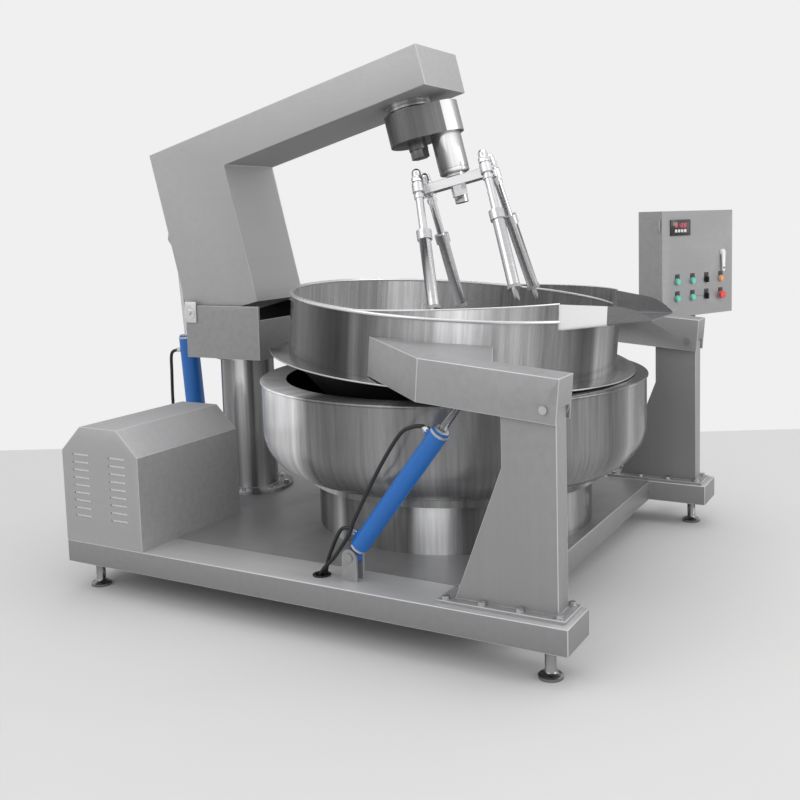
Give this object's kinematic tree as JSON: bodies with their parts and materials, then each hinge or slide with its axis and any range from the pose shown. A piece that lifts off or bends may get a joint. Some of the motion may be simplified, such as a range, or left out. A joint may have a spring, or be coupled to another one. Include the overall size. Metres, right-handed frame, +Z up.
{
  "type": "industrial cooking machine",
  "caption": "Tilting gas heated cooking kettle in a round furnace, with a planetary scraper head on a hydraulic gooseneck arm and a control cabinet on a pole.",
  "frame": {"origin": "centre of the whole machine's footprint box, on the floor", "axes": "+Z up, +X along the beams towards the pouring spout, +Y from the beam with the pot cylinder to the beam with the control cabinet"},
  "size_m": [2.5575, 2.5852, 2.209],
  "materials": {
    "brushed": "satin brushed stainless sheet and tube",
    "plate": "worn stainless floor plate",
    "bright": "polished stainless steel",
    "hard_chrome": "hard chrome",
    "zinc": "zinc plated bolts",
    "blue_paint": "gloss blue enamel",
    "motor_paint": "grey blue machine enamel",
    "tank_paint": "semi gloss black",
    "burner_iron": "dull cast iron",
    "hose_rubber": "matt black rubber",
    "blade_plastic": "white food grade plastic",
    "meter_case": "black plastic",
    "switch_black": "black plastic",
    "switchgear_grey": "light grey plastic",
    "button_green": "translucent green plastic",
    "button_amber": "translucent amber plastic",
    "button_red": "red plastic"
  },
  "bodies": {
    "base": {"front_beam": "brushed", "rear_beam": "brushed", "cross_members": "brushed", "floor_plate": "plate", "levelling_feet": "hard_chrome", "power_pack_cover": "brushed", "oil_tank": "tank_paint", "pump_motor": "motor_paint", "column": "bright", "column_head": "brushed", "arm_pin": "hard_chrome", "cylinder_lugs": "brushed", "furnace_shell": "bright", "furnace_base": "bright", "gas_burner": "burner_iron", "front_post": "brushed", "rear_post": "brushed", "anchor_bolts": "zinc", "cabinet_pole": "brushed"},
    "arm": {"mast_shell": "brushed", "boom_shell": "brushed", "drive_motor": "motor_paint", "head_ring": "bright"},
    "rear_cylinder": {"rear_barrel": "blue_paint", "rear_hoses": "hose_rubber"},
    "rear_piston": {"rear_rod": "hard_chrome"},
    "front_cylinder": {"front_barrel": "blue_paint", "front_hoses": "hose_rubber"},
    "front_piston": {"front_rod": "hard_chrome"},
    "carrier": {"planet_housing": "bright"},
    "stirrer": {"planet_shaft": "bright", "stirrer_bar": "bright", "scraper_rods": "bright"},
    "scraper_1": {"scraper_tube_1": "bright", "scraper_blade_1": "blade_plastic"},
    "scraper_2": {"scraper_tube_2": "bright", "scraper_blade_2": "blade_plastic"},
    "scraper_3": {"scraper_tube_3": "bright", "scraper_blade_3": "blade_plastic"},
    "scraper_4": {"scraper_tube_4": "bright", "scraper_blade_4": "blade_plastic"},
    "pot": {"pot_bowl": "bright", "pot_collar": "bright", "pour_spout": "bright", "front_pot_arm": "brushed", "rear_pot_arm": "brushed", "pot_pins": "hard_chrome"},
    "cabinet": {"cabinet_box": "brushed", "switchgear": "switchgear_grey"},
    "door": {"cabinet_door": "brushed", "panel_meter": "meter_case"},
    "handle": {"door_handle": "bright"},
    "green_button_1_body": {"green_button_1": "button_green"},
    "green_button_2_body": {"green_button_2": "button_green"},
    "green_button_3_body": {"green_button_3": "button_green"},
    "green_button_4_body": {"green_button_4": "button_green"},
    "amber_button_body": {"amber_button": "button_amber"},
    "stop_button_body": {"stop_button": "button_red"},
    "selector_1_body": {"selector_1": "switch_black"},
    "selector_2_body": {"selector_2": "switch_black"}
  },
  "joints": [
    {"name": "arm_lift", "type": "hinge", "parent": "base", "child": "arm", "pos_m": [-0.94223, -0.27459, 1.082], "axis": [0, -1, 0], "range_deg": [-14.2, 10]},
    {"name": "rear_cylinder_swing", "type": "hinge", "parent": "base", "child": "rear_cylinder", "pos_m": [-1.09523, -0.27459, 0.3], "axis": [0, -1, 0], "range_deg": [-4.6, 3.25]},
    {"name": "rear_rod_slide", "type": "slide", "parent": "rear_cylinder", "child": "rear_piston", "axis": [-0.0742, 0, 0.9972], "range_m": [-0.0395, 0.056]},
    {"name": "carrier_spin", "type": "hinge", "parent": "arm", "child": "carrier", "pos_m": [0.18807, -0.27459, 1.90234], "axis": [-0.2453, 0, 0.9694], "continuous": true},
    {"name": "stirrer_spin", "type": "hinge", "parent": "carrier", "child": "stirrer", "pos_m": [0.35515, -0.23503, 1.73831], "axis": [-0.2453, 0, 0.9694], "continuous": true},
    {"name": "scraper_slide_1", "type": "slide", "parent": "stirrer", "child": "scraper_1", "axis": [0.2702, -0.2975, -0.9157], "range_m": [0, 0.08]},
    {"name": "scraper_slide_2", "type": "slide", "parent": "stirrer", "child": "scraper_2", "axis": [0.1259, 0.2783, -0.9522], "range_m": [0, 0.08]},
    {"name": "scraper_slide_3", "type": "slide", "parent": "stirrer", "child": "scraper_3", "axis": [0.3422, -0.2783, -0.8975], "range_m": [0, 0.08]},
    {"name": "scraper_slide_4", "type": "slide", "parent": "stirrer", "child": "scraper_4", "axis": [0.1978, 0.2975, -0.934], "range_m": [0, 0.08]},
    {"name": "pot_tilt", "type": "hinge", "parent": "base", "child": "pot", "pos_m": [1.16477, -0.27459, 0.89], "axis": [0, 1, 0], "range_deg": [-5, 16]},
    {"name": "front_cylinder_swing", "type": "hinge", "parent": "base", "child": "front_cylinder", "pos_m": [0.39977, -1.18759, 0.295], "axis": [0, -1, 0], "range_deg": [-0.8, 2.45]},
    {"name": "front_rod_slide", "type": "slide", "parent": "front_cylinder", "child": "front_piston", "axis": [0.6076, 0, 0.7943], "range_m": [-0.0245, 0.078]},
    {"name": "cabinet_swivel", "type": "hinge", "parent": "base", "child": "cabinet", "pos_m": [0.99477, 0.85541, 0.95], "axis": [0, 0, 1], "range_deg": [-45, 30]},
    {"name": "door_hinge", "type": "hinge", "parent": "cabinet", "child": "door", "pos_m": [1.00163, 0.73437, 1.237], "axis": [0, 0, -1], "range_deg": [0, 65]},
    {"name": "handle_turn", "type": "hinge", "parent": "door", "child": "handle", "pos_m": [1.1973, 1.15069, 1.28475], "axis": [0.9078, -0.4195, 0], "range_deg": [0, 90]},
    {"name": "green_button_1_press", "type": "slide", "parent": "door", "child": "green_button_1_body", "axis": [-0.9078, 0.4195, 0], "range_m": [0, 0.004], "stiffness_N_per_m": 400},
    {"name": "green_button_2_press", "type": "slide", "parent": "door", "child": "green_button_2_body", "axis": [-0.9078, 0.4195, 0], "range_m": [0, 0.004], "stiffness_N_per_m": 400},
    {"name": "green_button_3_press", "type": "slide", "parent": "door", "child": "green_button_3_body", "axis": [-0.9078, 0.4195, 0], "range_m": [0, 0.004], "stiffness_N_per_m": 400},
    {"name": "green_button_4_press", "type": "slide", "parent": "door", "child": "green_button_4_body", "axis": [-0.9078, 0.4195, 0], "range_m": [0, 0.004], "stiffness_N_per_m": 400},
    {"name": "amber_button_press", "type": "slide", "parent": "door", "child": "amber_button_body", "axis": [-0.9078, 0.4195, 0], "range_m": [0, 0.004], "stiffness_N_per_m": 400},
    {"name": "stop_button_press", "type": "slide", "parent": "door", "child": "stop_button_body", "axis": [-0.9078, 0.4195, 0], "range_m": [0, 0.0035], "stiffness_N_per_m": 400},
    {"name": "selector_1_turn", "type": "hinge", "parent": "door", "child": "selector_1_body", "pos_m": [1.14319, 1.03359, 1.15193], "axis": [0.9078, -0.4195, 0], "range_deg": [-45, 45]},
    {"name": "selector_2_turn", "type": "hinge", "parent": "door", "child": "selector_2_body", "pos_m": [1.14319, 1.03359, 1.06793], "axis": [0.9078, -0.4195, 0], "range_deg": [-45, 45]}
  ],
  "couplings": [
    {"joint": "rear_cylinder_swing", "follows": "arm_lift", "ratio": 0.32},
    {"joint": "rear_rod_slide", "follows": "arm_lift", "m_per_rad": -0.2235},
    {"joint": "stirrer_spin", "follows": "carrier_spin", "ratio": -2.5},
    {"joint": "front_cylinder_swing", "follows": "pot_tilt", "ratio": 0.15},
    {"joint": "front_rod_slide", "follows": "pot_tilt", "m_per_rad": 0.275}
  ]
}
